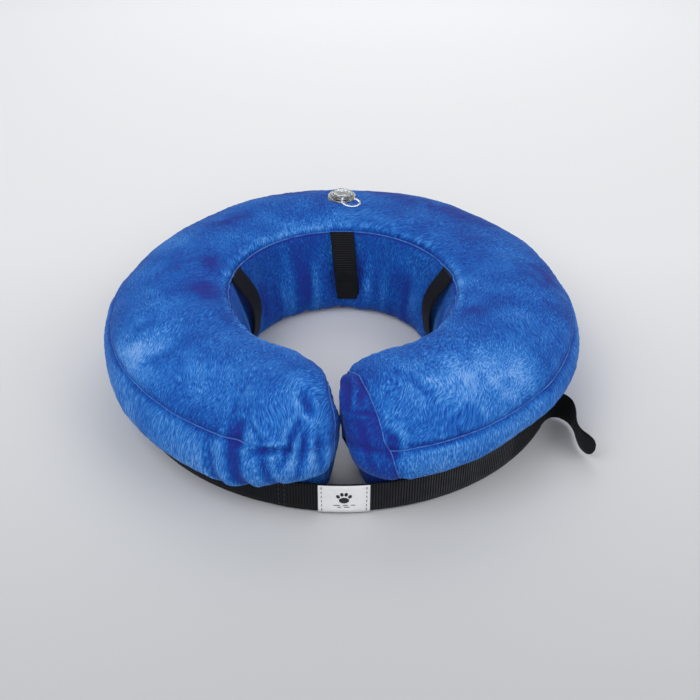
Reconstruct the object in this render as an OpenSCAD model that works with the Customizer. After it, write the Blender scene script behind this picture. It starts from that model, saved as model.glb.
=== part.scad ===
// Inflatable ring recovery collar: a C-shaped air ring in a plush cover, closed by a strap.
// Frame: origin on the ground at the centre of the neck hole, +Z up, front gap towards -Y.

/* [Ring] */
// Radius of the neck hole at the foot of the neck wall
neck_r = 76; // [72:1:80]
// Radius of the seam along the top of the neck wall
neck_seam_r = 90; // [87:1:94]
// Height of the seam along the top of the neck wall
neck_seam_z = 76; // [70:1:80]
// Radius of the outer seam
outer_seam_r = 187; // [184:1:192]
// Height of the outer seam
outer_seam_z = 56; // [52:1:60]
// Radius of the upright lower wall that the strap lies round
strap_wall_r = 172; // [168:1:174]

/* [Cover and bladder] */
// Thickness of the plush cover with its backing
cover_t = 2.5; // [2:0.1:3]
// Wall of the air bladder
bladder_t = 0.8; // [0.6:0.1:1.2]
// Half of the gap between the two ends
half_gap = 1.5; // [1:0.25:4]
// Plan radius that rounds the inner corner of each end
inner_round_r = 46; // [38:1:50]
// Plan radius that rounds the outer corner of each end
outer_round_r = 34; // [24:1:38]

/* [Opening] */
// Half angle of the back segment that doesn't bend
back_half_angle = 53; // [48:1:56]
// How far each arm swings open, in degrees
spread = 20; // [10:1:22]

/* [Strap] */
// Width of the strap webbing
strap_w = 25; // [20:1:25]
// Thickness of the strap webbing
strap_t = 2; // [1.5:0.1:2.2]
// Width of the webbing loops on the neck wall
loop_w = 20; // [15:1:25]
// How far a webbing loop stands off the neck wall
loop_standoff = 11; // [8:0.5:12]

/* [Valve] */
// Distance of the valve from the ring's axis
valve_r = 137; // [132:1:140]
// Radius of the welded valve flange
flange_r = 15.5; // [14:0.5:17]
// Outer radius of the sliding stem
stem_r = 8.3; // [7:0.1:9]

/* [Hidden] */
$fn = 96;

plush = "royalblue";
webbing = [0.08, 0.08, 0.09];
tape = [0.02, 0.02, 0.02];
clear = [0.85, 0.9, 0.95, 0.5];
eps = 0.01;

// Ring section, in radius and height, clockwise from the foot of the neck wall
function bezier(p, n) = [for (i = [0:n]) let (t = i / n, s = 1 - t)
    s * s * s * p[0] + 3 * s * s * t * p[1] + 3 * s * t * t * p[2] + t * t * t * p[3]];
function tail_of(list) = [for (i = [1:len(list) - 1]) list[i]];
foot_z = 6;
strap_wall_top = 31;
strap_wall_foot = 2;
inner_n = 8;
top_n = 12;
side_n = 6;
inner_curve = bezier([[neck_r, foot_z], [neck_r, 25], [neck_seam_r - 6, neck_seam_z - 21],
                      [neck_seam_r, neck_seam_z]], inner_n);
top_curve = bezier([[neck_seam_r, neck_seam_z], [neck_seam_r + 10, neck_seam_z + 12],
                    [outer_seam_r - 19, outer_seam_z + 38], [outer_seam_r, outer_seam_z]], top_n);
side_curve = bezier([[outer_seam_r, outer_seam_z], [outer_seam_r + 7, outer_seam_z - 13],
                     [strap_wall_r + 11, strap_wall_top + 4], [strap_wall_r, strap_wall_top]], side_n);
section = concat(inner_curve, tail_of(top_curve), tail_of(side_curve),
                 [[strap_wall_r, strap_wall_foot], [strap_wall_r - 5, 0], [neck_r + 10, 0]]);
i_neck_seam = inner_n;
i_outer_seam = i_neck_seam + top_n;
i_strap_top = i_outer_seam + side_n;
i_strap_foot = i_strap_top + 1;
i_end = len(section);

// Mitred inward offset of the section by d, so neighbouring panels meet face to face
function unit(v) = v / norm(v);
function edge_normal(i) = let (e = unit(section[(i + 1) % i_end] - section[i % i_end])) [e.y, -e.x];
function mitre(i) = let (a = edge_normal(i + i_end - 1), b = edge_normal(i)) (a + b) / (1 + a * b);
function inset(i, d) = section[i % i_end] + d * mitre(i);
function band(from, to, near, far) = concat([for (i = [from:to]) inset(i, near)],
                                            [for (i = [to:-1:from]) inset(i, far)]);
function whole(d) = [for (i = [0:i_end - 1]) inset(i, d)];

module sweep(profile, a0, a1) {
    rotate([0, 0, a0]) rotate_extrude(angle = a1 - a0) polygon(profile);
}

// The ring bends where each arm meets the back segment: a plan outline cuts one arm, with a
// notch outside the pivot that closes as the arm opens and rounded corners at the front end.
pivot_a = 90 - back_half_angle;
pivot_r = 135;
joint_clear = 0.4;
arm_from = -91;
arm_to = pivot_a + 0.5;
reach = 280;
function polar(r, a) = r * [cos(a), sin(a)];
function arc(c, r, a0, a1, n) = [for (i = [0:n]) c + polar(r, a0 + (a1 - a0) * i / n)];
round_from_r = (neck_r + neck_seam_r) / 2 + 1;
inner_round_c = let (x = half_gap + inner_round_r)
    [x, -sqrt(pow(round_from_r + inner_round_r, 2) - x * x)];
outer_round_c = let (x = half_gap + outer_round_r)
    [x, -sqrt(pow(outer_seam_r + 2 - outer_round_r, 2) - x * x)];
inner_round_a = atan2(inner_round_c.y, inner_round_c.x);
outer_round_a = atan2(outer_round_c.y, outer_round_c.x);
shy = 12; // the rounding arcs stop this many degrees short of touching the walls
function arm_plan(shell, rear) = let (
    corner = polar(pivot_r, pivot_a) + polar(joint_clear + rear, pivot_a - 90))
    concat([corner - polar(pivot_r - 20, pivot_a), corner,
            corner + polar(100, pivot_a - spread - 1), [reach, 0], [reach, -reach],
            polar(reach, outer_round_a)],
           arc(outer_round_c, outer_round_r - shell, outer_round_a - shy, -180, 6),
           arc(inner_round_c, inner_round_r - shell, 180, inner_round_a + 180 + shy, 8),
           [polar(60, -45)]);

module arm_prism(shell, rear) {
    translate([0, 0, -10]) linear_extrude(120) polygon(arm_plan(shell, rear));
}

module back_panel(profile) {
    color(plush) sweep(profile, pivot_a, 180 - pivot_a);
}

module arm_panel(profile) {
    color(plush) intersection() {
        sweep(profile, arm_from, arm_to);
        arm_prism(0, 0);
    }
}

module on_left() {
    mirror([1, 0, 0]) children();
}

top_band = band(i_neck_seam, i_outer_seam, 0, cover_t);
outer_band = band(i_outer_seam, i_strap_foot, 0, cover_t);
bottom_band = band(i_strap_foot, i_end, 0, cover_t);
inner_band = band(0, i_neck_seam, 0, cover_t);

// Valve heights hang from the crest of the ring
crest = max([for (p = top_curve) p.y]);
collar_bore_r = stem_r + 0.3;
collar_r = stem_r + 2.7;
cover_hole_r = flange_r + 1;
module at_valve(z) {
    translate([0, valve_r, crest + z]) children();
}

module cover_top_back() {
    difference() {
        back_panel(top_band);
        at_valve(-20) cylinder(h = 40, r = cover_hole_r);
    }
}
module cover_outer_back() { back_panel(outer_band); }
module cover_bottom_back() { back_panel(bottom_band); }
module cover_inner_back() { back_panel(inner_band); }
module cover_top_right() { arm_panel(top_band); }
module cover_outer_right() { arm_panel(outer_band); }
module cover_bottom_right() { arm_panel(bottom_band); }
module cover_inner_right() { arm_panel(inner_band); }
module cover_top_left() { on_left() arm_panel(top_band); }
module cover_outer_left() { on_left() arm_panel(outer_band); }
module cover_bottom_left() { on_left() arm_panel(bottom_band); }
module cover_inner_left() { on_left() arm_panel(inner_band); }

// Sewn panel that closes the front end of an arm
module end_panel_right() {
    color("mediumblue") difference() {
        intersection() {
            sweep(whole(cover_t), arm_from, -50);
            arm_prism(0, 0);
        }
        arm_prism(cover_t, -10);
    }
}
module end_panel_left() { on_left() end_panel_right(); }

// Air bladder: a closed film tube in three stretches, one for each part of the ring that stays stiff
bladder_in = cover_t + 0.3;
bladder_core = bladder_in + bladder_t;
film_end = 0.6; // degrees of arc left as the end wall
module bladder_back() {
    color("lightsteelblue") difference() {
        sweep(whole(bladder_in), pivot_a, 180 - pivot_a);
        sweep(whole(bladder_core), pivot_a + film_end, 180 - pivot_a - film_end);
        at_valve(-20) cylinder(h = 40, r = collar_r + 0.2);
    }
}
module bladder_right() {
    color("lightsteelblue") difference() {
        intersection() {
            sweep(whole(bladder_in), arm_from, arm_to);
            arm_prism(bladder_in, 0);
        }
        intersection() {
            sweep(whole(bladder_core), arm_from, arm_to);
            arm_prism(bladder_core, bladder_t);
        }
    }
}
module bladder_left() { on_left() bladder_right(); }

// Webbing loops: sewn flat at the foot and the top of the neck wall, bowed between
loop_t = 1.5;
side_loop_a = 14;
loop_span = 2 * asin(loop_w / 2 / neck_r);
function bow(i) = (i <= 1 || i >= inner_n - 1) ? 0
    : loop_standoff * pow(sin(180 * (i - 1) / (inner_n - 2)), 2);
loop_profile = concat([for (i = [0:inner_n]) inset(i, -bow(i))],
                      [for (i = [inner_n:-1:0]) inset(i, -bow(i) - loop_t)]);
module webbing_loop(a) {
    color(webbing) sweep(loop_profile, a - loop_span / 2, a + loop_span / 2);
}
module webbing_loop_back() { webbing_loop(90); }
module webbing_loop_right() { webbing_loop(side_loop_a); }
module webbing_loop_left() { webbing_loop(180 - side_loop_a); }

// Strap: doubled and sewn to the left arm, free across the gap, gripped on the right arm
strap_z = strap_wall_foot;
strap_in = strap_wall_r + 2;
strap_out = strap_in + strap_t;
strap_gap_a = 0.1;
root_a0 = 215;
root_a1 = 262.5;
span_a1 = 300;
end_a1 = 331.5;
function strap_box(r0, r1, z0, z1) = [[r0, z0], [r1, z0], [r1, z1], [r0, z1]];
module strap_root() {
    color(webbing) sweep(strap_box(strap_wall_r, strap_out, strap_z, strap_z + strap_w),
                         root_a0, root_a1 - strap_gap_a);
}
module strap_span() {
    color(webbing) sweep(strap_box(strap_in, strap_out, strap_z, strap_z + strap_w), root_a1, span_a1);
}
module strap_end() {
    color(webbing) sweep(strap_box(strap_in, strap_out, strap_z, strap_z + strap_w),
                         span_a1 + strap_gap_a, end_a1);
}
hook_t = 0.8;
module hook_tape() {
    color(tape) sweep(strap_box(strap_in - hook_t, strap_in, strap_z + 1, strap_z + strap_w - 1),
                      span_a1 + 1, end_a1);
}
loop_tape_t = 0.9;
module loop_tape() {
    color(tape) sweep(strap_box(strap_wall_r, strap_wall_r + loop_tape_t, strap_wall_foot,
                                strap_wall_top), 284, 330);
}

// Stitch rows: short raised threads across the strap's face
stitch_len = 2.6;
stitch_t = 0.5;
module stitch_column(a, r, z0, count, pitch) {
    for (k = [0:count - 1])
        sweep(strap_box(r, r + stitch_t, z0 + k * pitch, z0 + k * pitch + stitch_len), a - 0.12, a + 0.12);
}
module strap_stitches() {
    color("dimgray") for (a = [root_a0 + 1.5, root_a0 + 6, root_a1 - 7, root_a1 - 3])
        stitch_column(a, strap_out, strap_z + 2, 5, 4.5);
}

label_t = 0.6;
label_a0 = 264.6;
label_a1 = 276.4;
module label() {
    color("white") sweep(strap_box(strap_out, strap_out + label_t, strap_z, strap_z + strap_w),
                         label_a0, label_a1);
}
module label_stitches() {
    color(webbing) for (a = [label_a0 + 0.8, label_a1 - 0.8])
        stitch_column(a, strap_out + label_t, strap_z + 1.2, 6, 4);
}

// Free tail: peels off along the ring, curls outwards and swings to the front
tail_t = 1.6;
tail_start = polar(strap_in + strap_t / 2, end_a1 + 0.2);
tail_run = polar(8, end_a1 + 90);
tail_path = concat(bezier([tail_start, tail_start + tail_run, [163, -70], [170, -74]], 6),
                   tail_of(bezier([[170, -74], [177, -78], [177, -88], [177, -96]], 5)),
                   tail_of(bezier([[177, -96], [177, -104], [184, -108], [184, -126]], 6)));
tail_n = len(tail_path) - 1;
function tail_side(i) = let (t = unit(tail_path[min(i + 1, tail_n)] - tail_path[max(i - 1, 0)]))
    [t.y, -t.x] * tail_t / 2;
module strap_tail() {
    color(tape) translate([0, 0, strap_z + 0.5]) linear_extrude(strap_w - 1)
        polygon(concat([for (i = [0:tail_n]) tail_path[i] + tail_side(i)],
                       [for (i = [tail_n:-1:0]) tail_path[i] - tail_side(i)]));
}

// Zip at the back, along the outer side band: one straight step of the section carries the coil
zip_a0 = 60;
zip_a1 = 120;
zip_tape_t = 0.8;
i_zip = i_outer_seam + 3;
zip_mid = (section[i_zip] + section[i_zip + 1]) / 2;
zip_out = -edge_normal(i_zip);
zip_up = [-zip_out.y, zip_out.x];
function zip_box(half, low, high) = [for (c = [[-half, low], [half, low], [half, high], [-half, high]])
    zip_mid + c[0] * zip_up + c[1] * zip_out];
coil_half = 2.4;
coil_top = 2;
module zip_tape() {
    color("navy") sweep(band(i_zip - 1, i_zip + 2, -zip_tape_t, 0), zip_a0, zip_a1);
}
module zip_coil() {
    color("navy") sweep(zip_box(coil_half, zip_tape_t, coil_top), zip_a0 + 0.5, zip_a1 - 0.5);
}
module zip_stops() {
    color("silver") for (a = [zip_a0 + 1, zip_a1 - 2])
        sweep(zip_box(coil_half + 0.4, coil_top, coil_top + 0.5), a, a + 1);
}

slider_a = zip_a1 - 5;
slider_span = 3.6;
slider_half = 5;
slider_low = zip_tape_t + 0.3;
slider_roof = coil_top + 0.8;
slider_top = slider_roof + 1.4;
pin_r = 0.8;
eye_r = 1.7;
ear_half = 3.4;
ear_in = 2.3;
pin_lift = eye_r + 0.5;
pin_at = zip_mid + (slider_top + pin_lift) * zip_out;
module at_slider() {
    rotate([0, 0, slider_a]) children();
}
module zip_slider() {
    color("silver") {
        difference() {
            sweep(zip_box(slider_half, slider_low, slider_top), slider_a - slider_span / 2,
                  slider_a + slider_span / 2);
            sweep(zip_box(coil_half + 0.5, 0, slider_roof), slider_a - slider_span, slider_a + slider_span);
        }
        at_slider() for (y = [-ear_half, ear_in])
            translate([pin_at.x - 3.2, y, pin_at.y - 1.5]) cube([4.6, ear_half - ear_in, 3]);
        at_slider() translate([pin_at.x, -ear_half, pin_at.y]) rotate([-90, 0, 0])
            cylinder(h = 2 * ear_half, r = pin_r);
    }
}
pull_len = 22;

module zip_pull() {
    color("silver") at_slider() translate([pin_at.x, 0, pin_at.y]) difference() {
        union() {
            translate([0, 0.2 - ear_in, 0]) rotate([-90, 0, 0])
                cylinder(h = 2 * ear_in - 0.4, r = eye_r);
            translate([-0.6, 0.2 - ear_in, -eye_r - 3]) cube([1.2, 2 * ear_in - 0.4, eye_r + 3]);
            translate([-0.6, -3.5, -pull_len]) cube([1.2, 7, pull_len - eye_r - 2]);
        }
        translate([0, -5, 0]) rotate([-90, 0, 0]) cylinder(h = 10, r = pin_r + 0.1);
        translate([-2, 0, 3 - pull_len]) rotate([0, 90, 0]) cylinder(h = 4, r = 1.6);
    }
}

// Valve: flange welded to the bladder, collar, sliding stem with its check flap, tethered plug
flange_z = -cover_t - 0.25;
module valve_flange() {
    color(clear) at_valve(flange_z) difference() {
        cylinder(h = 1.5, r = flange_r);
        translate([0, 0, -1]) cylinder(h = 4, r = collar_r);
    }
}
module valve_collar() {
    color(clear) difference() {
        union() {
            at_valve(-5) cylinder(h = 6.5, r = collar_r);
            at_valve(0.5) cylinder(h = 1, r = collar_r + 1.6);
        }
        at_valve(-10) cylinder(h = 20, r = collar_bore_r);
    }
}
lip_z = 1.8;
lip_t = 1.2;
stem_foot = -14;
plug_r = 5.3;
stem_bore_r = plug_r + 0.3;
module valve_stem() {
    color(clear) difference() {
        union() {
            at_valve(stem_foot) cylinder(h = lip_z - stem_foot, r = stem_r);
            at_valve(lip_z) cylinder(h = lip_t, r = stem_r + 1.5);
        }
        at_valve(stem_foot - 1) cylinder(h = 20, r = stem_bore_r);
    }
}
flap_t = 0.8;
module valve_flap() {
    color(clear) at_valve(stem_foot - flap_t - 0.3) cylinder(h = flap_t, r = stem_r - 0.3);
}
cap_z = lip_z + lip_t + 0.3;
cap_t = 1.5;
module valve_plug() {
    color(clear) {
        at_valve(-3) cylinder(h = cap_z + 3, r = plug_r);
        at_valve(cap_z) cylinder(h = cap_t, r = plug_r + 2.4);
    }
}
tether_r = 8;
tether_w = 2.4;
module valve_tether() {
    color(clear) at_valve(cap_z) rotate([0, 0, -60]) translate([plug_r + 2.4 + tether_r, 0, 0])
        rotate([0, 0, 200]) rotate_extrude(angle = 300)
            translate([tether_r - tether_w / 2, 0]) square([tether_w, 1.2]);
}

cover_top_back();
cover_outer_back();
cover_bottom_back();
cover_inner_back();
cover_top_left();
cover_outer_left();
cover_bottom_left();
cover_inner_left();
cover_top_right();
cover_outer_right();
cover_bottom_right();
cover_inner_right();
end_panel_left();
end_panel_right();
bladder_back();
bladder_left();
bladder_right();
webbing_loop_back();
webbing_loop_left();
webbing_loop_right();
strap_root();
strap_stitches();
loop_tape();
strap_span();
label();
label_stitches();
strap_end();
hook_tape();
strap_tail();
zip_tape();
zip_coil();
zip_stops();
zip_slider();
zip_pull();
valve_flange();
valve_collar();
valve_stem();
valve_flap();
valve_plug();
valve_tether();
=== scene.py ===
import math

import bmesh
import bpy
import numpy as np
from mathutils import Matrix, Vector


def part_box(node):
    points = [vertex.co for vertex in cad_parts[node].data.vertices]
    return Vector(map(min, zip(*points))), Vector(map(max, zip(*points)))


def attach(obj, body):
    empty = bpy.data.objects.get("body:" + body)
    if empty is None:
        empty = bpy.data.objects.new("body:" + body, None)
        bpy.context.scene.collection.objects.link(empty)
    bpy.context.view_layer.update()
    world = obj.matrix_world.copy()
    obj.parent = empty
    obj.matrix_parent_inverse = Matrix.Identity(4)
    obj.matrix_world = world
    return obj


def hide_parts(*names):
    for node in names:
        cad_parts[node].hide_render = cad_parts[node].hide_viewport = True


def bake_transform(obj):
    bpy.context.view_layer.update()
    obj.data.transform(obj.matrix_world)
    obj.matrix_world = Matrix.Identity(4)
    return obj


# Looks for the inflatable ring recovery collar. Lengths below are millimetres in the frame's own
# axes, and every mesh is scaled to metres as it is made. A point's place along the ring is the
# angle phi from the back centre to the front gap, and its place round the section is the length b
# from the seam along the top of the neck wall.
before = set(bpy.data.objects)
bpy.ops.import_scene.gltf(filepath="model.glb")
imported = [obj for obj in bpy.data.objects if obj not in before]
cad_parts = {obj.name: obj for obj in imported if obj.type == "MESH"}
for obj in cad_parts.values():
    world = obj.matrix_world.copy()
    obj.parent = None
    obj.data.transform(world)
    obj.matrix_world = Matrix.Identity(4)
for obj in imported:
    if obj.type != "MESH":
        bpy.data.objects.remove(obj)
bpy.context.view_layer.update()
MM = 0.001
WELD = 1e-6
SIDES = {"right": 1, "left": -1}


# ---------------------------------------------------------------- numbers and curves
def noise(x, y, seed):
    """Smooth noise from -1 to 1 over a plane, the same each run."""
    table = np.random.default_rng(seed).uniform(-1, 1, (256, 256))
    i, j = np.floor(x).astype(int), np.floor(y).astype(int)
    u, v = x - i, y - j
    u, v = u * u * (3 - 2 * u), v * v * (3 - 2 * v)
    near = table[i % 256, j % 256] * (1 - u) + table[(i + 1) % 256, j % 256] * u
    far = table[i % 256, (j + 1) % 256] * (1 - u) + table[(i + 1) % 256, (j + 1) % 256] * u
    return near * (1 - v) + far * v


def smooth(x):
    x = np.clip(x, 0, 1)
    return x * x * (3 - 2 * x)


def bezier(points):
    t = np.linspace(0, 1, 200)[:, None]
    p = np.array(points, float)
    return (1 - t) ** 3 * p[0] + 3 * (1 - t) ** 2 * t * p[1] + 3 * (1 - t) * t * t * p[2] + t**3 * p[3]


def lengths(line):
    return np.concatenate([[0], np.cumsum(np.linalg.norm(np.diff(line, axis=0), axis=1))])


def even(line, count):
    """The line again, as count equal steps."""
    along = lengths(line)
    at = np.linspace(0, along[-1], count + 1)
    return np.stack([np.interp(at, along, line[:, k]) for k in range(line.shape[1])], axis=1)


def unit(v):
    return v / np.maximum(np.linalg.norm(v, axis=-1, keepdims=True), 1e-9)


# ---------------------------------------------------------------- meshes
def mesh_piece(name, points, faces, attributes=None, material=None):
    """An object of these points in millimetres; attributes are vectors or numbers for each point."""
    mesh = bpy.data.meshes.new(name)
    mesh.from_pydata((np.asarray(points) * MM).tolist(), [], [tuple(f) for f in faces])
    for key, values in (attributes or {}).items():
        values = np.asarray(values, np.float32)
        kind = "FLOAT" if values.ndim == 1 else "FLOAT_VECTOR"
        made = mesh.attributes.new(key, kind, "POINT")
        made.data.foreach_set("value" if kind == "FLOAT" else "vector", values.ravel())
    mesh.validate()
    mesh.polygons.foreach_set("use_smooth", [True] * len(mesh.polygons))
    piece = bpy.data.objects.new(name, mesh)
    bpy.context.scene.collection.objects.link(piece)
    if material:
        mesh.materials.append(material)
    return piece


def clean_up(piece, weld=False, degenerate=False, normals=False):
    """Welds doubled points, drops faces of no size and turns the normals outwards, as asked."""
    edit = bmesh.new()
    edit.from_mesh(piece.data)
    if weld:
        bmesh.ops.remove_doubles(edit, verts=edit.verts, dist=WELD)
    if degenerate:
        bmesh.ops.dissolve_degenerate(edit, edges=edit.edges, dist=WELD)
    if normals:
        bmesh.ops.recalc_face_normals(edit, faces=edit.faces)
    edit.to_mesh(piece.data)
    edit.free()


def closed_rings(rings, sides, base=0):
    """Faces of a closed tube, from rings of points in order: its side, then a cap at each end."""
    faces = []
    for i in range(rings - 1):
        for j in range(sides):
            a, b = base + i * sides + j, base + i * sides + (j + 1) % sides
            faces.append((a, b, b + sides, a + sides))
    last = base + (rings - 1) * sides
    return faces + [tuple(reversed(range(base, base + sides))), tuple(range(last, last + sides))]


def grid_faces(rows, columns):
    i, j = np.meshgrid(np.arange(rows - 1), np.arange(columns - 1), indexing="ij")
    a = (i * columns + j).ravel()
    return np.stack([a, a + 1, a + columns + 1, a + columns], axis=1)


def grid_piece(name, grid, attributes, material, flip=False, keep=None):
    """A sheet from a grid of points. keep says which faces stay."""
    rows, columns = grid.shape[:2]
    faces = grid_faces(rows, columns)
    if keep is not None:
        faces = faces[keep.ravel()]
    if flip:
        faces = faces[:, ::-1]
    used = np.unique(faces)
    new = np.zeros(rows * columns, int)
    new[used] = np.arange(len(used))
    flat = {k: v.reshape(rows * columns, -1)[used].squeeze() for k, v in attributes.items()}
    piece = mesh_piece(name, grid.reshape(-1, 3)[used], new[faces].tolist(), flat, material)
    clean_up(piece, weld=True)
    return piece


def tube(name, line, radius, material, sides=8, flat=1.0, closed=False):
    """A round or flattened cord along a line; the radius may change along it."""
    line = np.asarray(line, float)
    ahead = unit(np.gradient(line, axis=0))
    up = np.tile([0.0, 0.0, 1.0], (len(line), 1))
    across = unit(np.cross(ahead, up))
    up = np.cross(across, ahead)
    turn = np.linspace(0, 2 * np.pi, sides, endpoint=False)
    radius = np.broadcast_to(radius, len(line))[:, None, None]
    ring = np.cos(turn)[None, :, None] * across[:, None] + flat * np.sin(turn)[None, :, None] * up[:, None]
    points = line[:, None] + radius * ring
    faces = []
    for i in range(len(line) - (0 if closed else 1)):
        for j in range(sides):
            a, b = i * sides + j, i * sides + (j + 1) % sides
            c = ((i + 1) % len(line)) * sides
            faces.append((a, c + j, c + (j + 1) % sides, b))
    if not closed:
        faces.append(tuple(range(sides)))
        faces.append(tuple((len(line) - 1) * sides + j for j in reversed(range(sides))))
    return mesh_piece(name, points.reshape(-1, 3), faces, material=material)


def lathe(name, outline, centre, material, steps=72):
    """A turned piece: a closed outline of (radius, height) round an upright axis."""
    outline = np.array(outline, float)
    turn = np.linspace(0, 2 * np.pi, steps, endpoint=False)
    points = np.zeros((len(outline), steps, 3))
    points[..., 0] = centre[0] + outline[:, :1] * np.cos(turn)
    points[..., 1] = centre[1] + outline[:, :1] * np.sin(turn)
    points[..., 2] = centre[2] + outline[:, 1:]
    count = len(outline)
    faces = [
        (i * steps + j, i * steps + (j + 1) % steps,
         (i + 1) % count * steps + (j + 1) % steps, (i + 1) % count * steps + j)
        for i in range(count) for j in range(steps)
    ]
    piece = mesh_piece(name, points.reshape(-1, 3), faces, material=material)
    clean_up(piece, weld=True, degenerate=True, normals=True)
    return piece


# ---------------------------------------------------------------- materials
def new_material(name, **sockets):
    made = bpy.data.materials.new(name)
    made.use_nodes = True
    shader = made.node_tree.nodes["Principled BSDF"]
    for socket, value in sockets.items():
        shader.inputs[socket.replace("_", " ")].default_value = value
    return made, made.node_tree, shader


def add(tree, kind, settings=None, **inputs):
    """Adds a node. Inputs go by name, or by number as _0, and are values or other nodes' outputs."""
    node = tree.nodes.new(kind)
    for key, value in (settings or {}).items():
        setattr(node, key, value)
    for key, value in inputs.items():
        socket = node.inputs[int(key[1:])] if key.startswith("_") else node.inputs[key]
        if isinstance(value, bpy.types.NodeSocket):
            tree.links.new(value, socket)
        else:
            socket.default_value = value
    return node


def attribute(tree, name):
    return add(tree, "ShaderNodeAttribute", {"attribute_type": "GEOMETRY", "attribute_name": name})


def stretched(tree, vector, scale, detail=2.0):
    """Noise in a scaled space, so that it runs in streaks."""
    placed = add(tree, "ShaderNodeMapping", Vector=vector, Scale=scale)
    found = add(tree, "ShaderNodeTexNoise", Vector=placed.outputs[0], Scale=1.0, Detail=detail, Roughness=0.6)
    return found.outputs[0]


def speckle(tree, place, scale, detail, roughness):
    """Even noise in all directions."""
    return add(tree, "ShaderNodeTexNoise", Vector=place, Scale=scale, Detail=detail,
               Roughness=roughness).outputs[0]


def maths(tree, operation, a, b=0.0):
    return add(tree, "ShaderNodeMath", {"operation": operation}, _0=a, _1=b).outputs[0]


def times(tree, a, b):
    return maths(tree, "MULTIPLY", a, b)


def plus(tree, a, b):
    return maths(tree, "ADD", a, b)


def mixed(tree, factor, a, b):
    """Plain mix of two numbers."""
    return add(tree, "ShaderNodeMix", {"data_type": "FLOAT"}, _0=factor, _2=a, _3=b).outputs[0]


def ramp(tree, factor, stops):
    made = add(tree, "ShaderNodeValToRGB", Fac=factor)
    band = made.color_ramp
    while len(band.elements) < len(stops):
        band.elements.new(0.5)
    for element, (place, colour) in zip(band.elements, stops):
        element.position = place
        element.color = (*colour, 1)
    return made.outputs[0]


def relief(tree, shader, height, strength, distance):
    """Bump on the surface from a height; distance is in metres."""
    bump = add(tree, "ShaderNodeBump", Strength=strength, Distance=distance, Height=height)
    tree.links.new(bump.outputs[0], shader.inputs["Normal"])


PURPLE = (0.014, 0.024, 0.235)
DEEP = (0.007, 0.048, 0.300)
BLUE = (0.008, 0.104, 0.440)
BRIGHT = (0.040, 0.205, 0.610)
PALE = (0.190, 0.385, 0.780)


def plush_material(name, light=0.0):
    """Short-pile plush: fine streaks along the lie of the pile, in clumps, and brushed patches painted
    lighter and darker as highlight and shade.
    """
    made, tree, shader = new_material(
        name, Roughness=0.78, Specular_IOR_Level=0.10, Sheen_Weight=0.12, Sheen_Roughness=0.45,
        Sheen_Tint=(0.45, 0.62, 1.0, 1),
    )
    ways = [attribute(tree, "pile_a").outputs["Vector"], attribute(tree, "pile_b").outputs["Vector"]]
    turn = attribute(tree, "turn").outputs["Fac"]
    nap = attribute(tree, "nap").outputs["Fac"]
    hairs = mixed(tree, turn, *[stretched(tree, way, (0.28, 1.10, 1), 3.0) for way in ways])
    tufts = mixed(tree, turn, *[stretched(tree, way, (0.085, 0.30, 1), 2.0) for way in ways])
    tone = times(tree, maths(tree, "SUBTRACT", hairs, 0.5), 1.5)
    tone = plus(tree, tone, times(tree, maths(tree, "SUBTRACT", tufts, 0.5), 0.35))
    # The nap attribute adds random tone together with painted highlight and painted shade.
    tone = plus(tree, tone, times(tree, nap, 0.30))
    # light shifts the whole tone; below zero it is painted shade, as on the wall and end copies.
    tone = plus(tree, tone, 0.43 + light)
    colour = ramp(tree, tone, [(0.05, PURPLE), (0.26, DEEP), (0.48, BLUE), (0.70, BRIGHT), (0.98, PALE)])
    tree.links.new(colour, shader.inputs["Base Color"])
    rough = plus(tree, 0.66, times(tree, hairs, 0.25))
    tree.links.new(rough, shader.inputs["Roughness"])
    height = plus(tree, hairs, times(tree, tufts, 0.8))
    relief(tree, shader, height, 0.55, 0.0011)
    return made


def object_coords(tree):
    return add(tree, "ShaderNodeTexCoord").outputs["Object"]


def webbing_material(name, dark, light, pitch=2.0, gloss=0.55, sheen_span=None):
    """Woven tape: ribs across it, with finer yarns within each rib. The rib crests are lighter, a painted
    highlight mottled by random wear.
    The last argument is the stretch of its length over which a painted sheen greys the tape."""
    made, tree, shader = new_material(
        name, Roughness=gloss, Specular_IOR_Level=0.14, Sheen_Weight=0.03, Sheen_Roughness=0.4,
        Sheen_Tint=(0.7, 0.72, 0.8, 1),
    )
    weave = attribute(tree, "weave").outputs["Vector"]
    parts = add(tree, "ShaderNodeSeparateXYZ", Vector=weave)
    rib = maths(tree, "SINE", times(tree, parts.outputs[0], 2 * math.pi / pitch))
    yarn = maths(tree, "SINE", times(tree, parts.outputs[1], 2 * math.pi / 0.9))
    cloth = times(tree, plus(tree, rib, 1.0), 0.5)
    cloth = plus(tree, cloth, times(tree, yarn, 0.22))
    wear = stretched(tree, weave, (0.09, 0.16, 1), 3.0)
    speck = stretched(tree, weave, (1.3, 1.3, 1), 2.0)
    # Painted highlight on the rib crests, mottled by random wear
    tone = times(tree, cloth, plus(tree, times(tree, wear, 0.8), 0.15))
    tone = plus(tree, tone, times(tree, maths(tree, "SUBTRACT", speck, 0.5), 0.5))
    stops = [(0.1, dark), (0.85, light)]
    # Painted sheen: along this stretch the tape lightens towards a sheen grey.
    if sheen_span:
        used = add(tree, "ShaderNodeMapRange", Value=parts.outputs[0], _1=float(sheen_span[0]), _2=float(sheen_span[1]))
        tone = times(tree, tone, plus(tree, 0.5, times(tree, used.outputs[0], 0.5)))
        stops = [(0.05, dark), (0.45, light), (0.9, tuple(3.2 * c for c in light))]
    colour = ramp(tree, tone, stops)
    tree.links.new(colour, shader.inputs["Base Color"])
    tree.links.new(plus(tree, 0.45, times(tree, wear, 0.3)), shader.inputs["Roughness"])
    relief(tree, shader, cloth, 0.6, 0.0004)
    return made


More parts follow.
